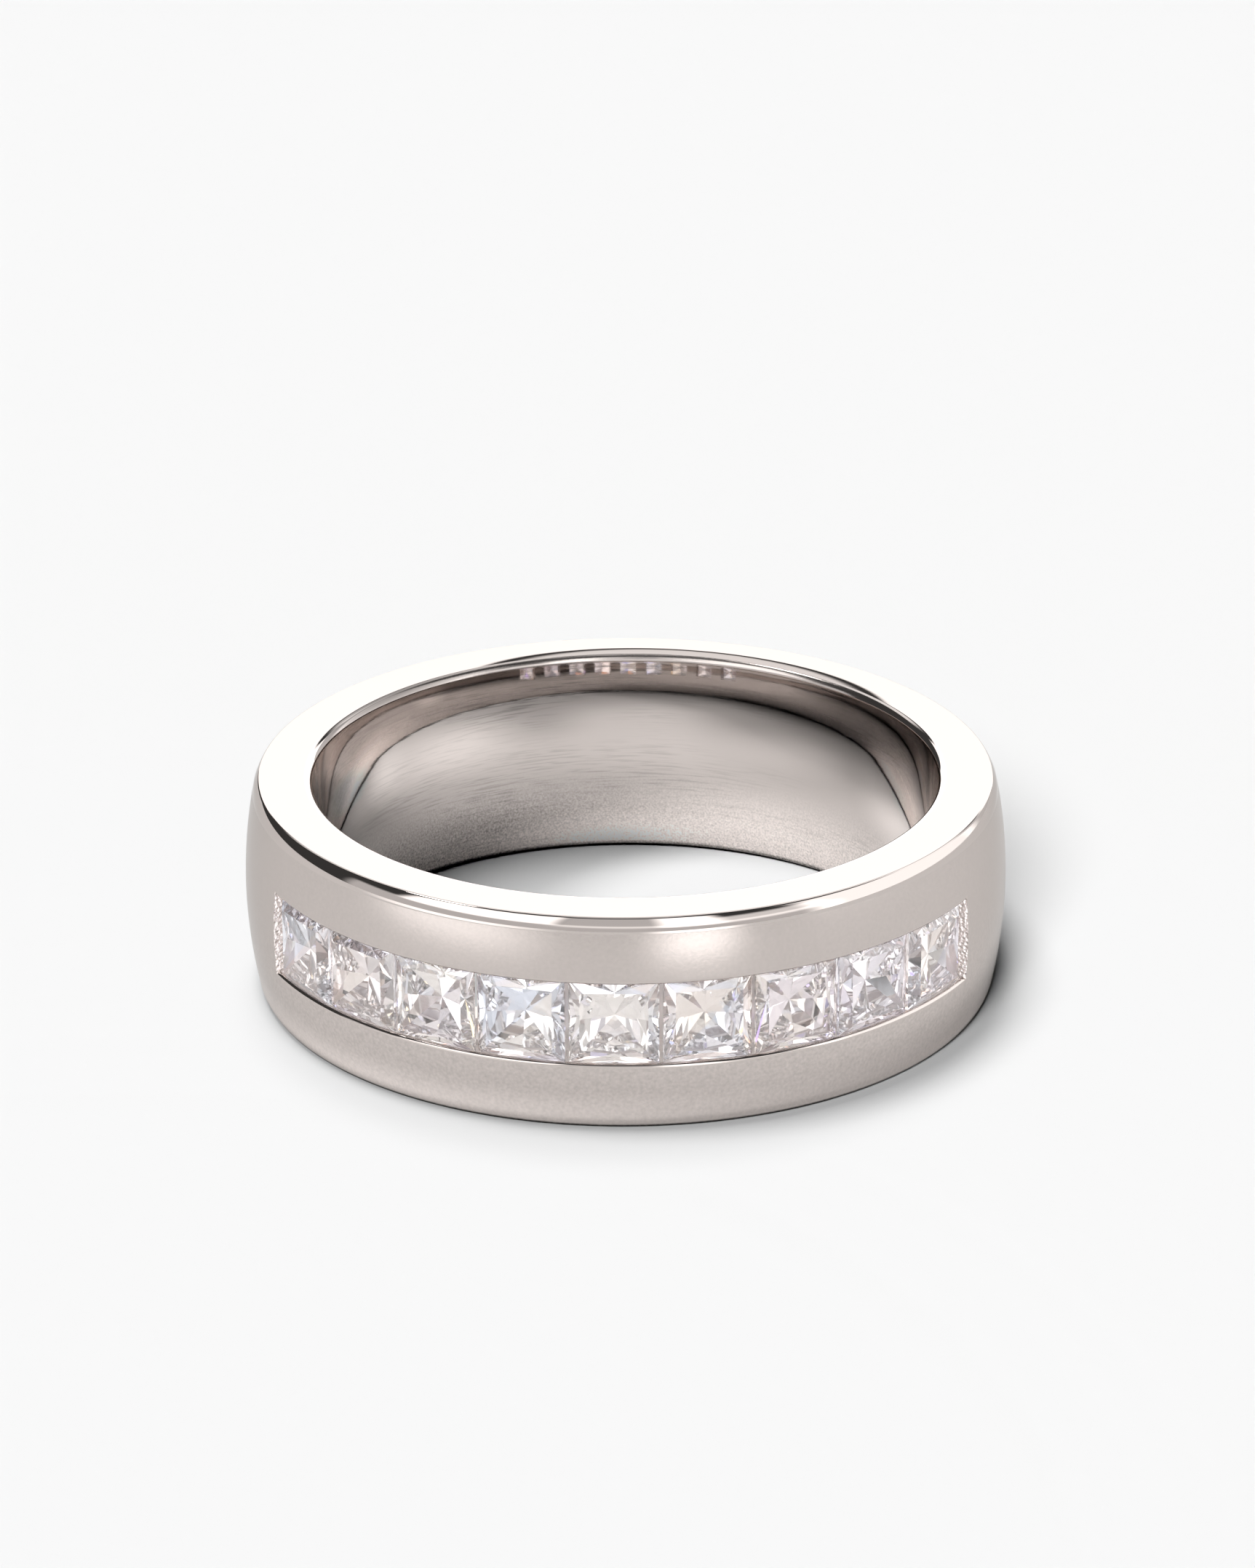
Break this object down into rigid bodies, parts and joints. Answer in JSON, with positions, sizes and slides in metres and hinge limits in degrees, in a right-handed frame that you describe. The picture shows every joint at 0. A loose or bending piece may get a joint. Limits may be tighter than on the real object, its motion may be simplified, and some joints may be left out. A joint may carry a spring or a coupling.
{
  "type": "channel-set cubic zirconia band ring",
  "caption": "Wide domed band ring with a comfort-fit bore and a channel of square princess-cut clear stones set end to end along its front, lying on its flat edge.",
  "frame": {"origin": "the point on the ring's axis at the level of its lower flat edge, on which it lies", "axes": "+Z along the ring's axis, up as it lies; the middle stone faces -Y"},
  "size_m": [0.0246, 0.0245, 0.007],
  "materials": {
    "metal": "polished, rhodium-plated silver",
    "zirconia": "faceted and polished"
  },
  "bodies": {
    "root": {"band": "metal", "stone_1": "zirconia", "stone_2": "zirconia", "stone_3": "zirconia", "stone_4": "zirconia", "stone_5": "zirconia", "stone_6": "zirconia", "stone_7": "zirconia", "stone_8": "zirconia", "stone_9": "zirconia"}
  },
  "joints": []
}
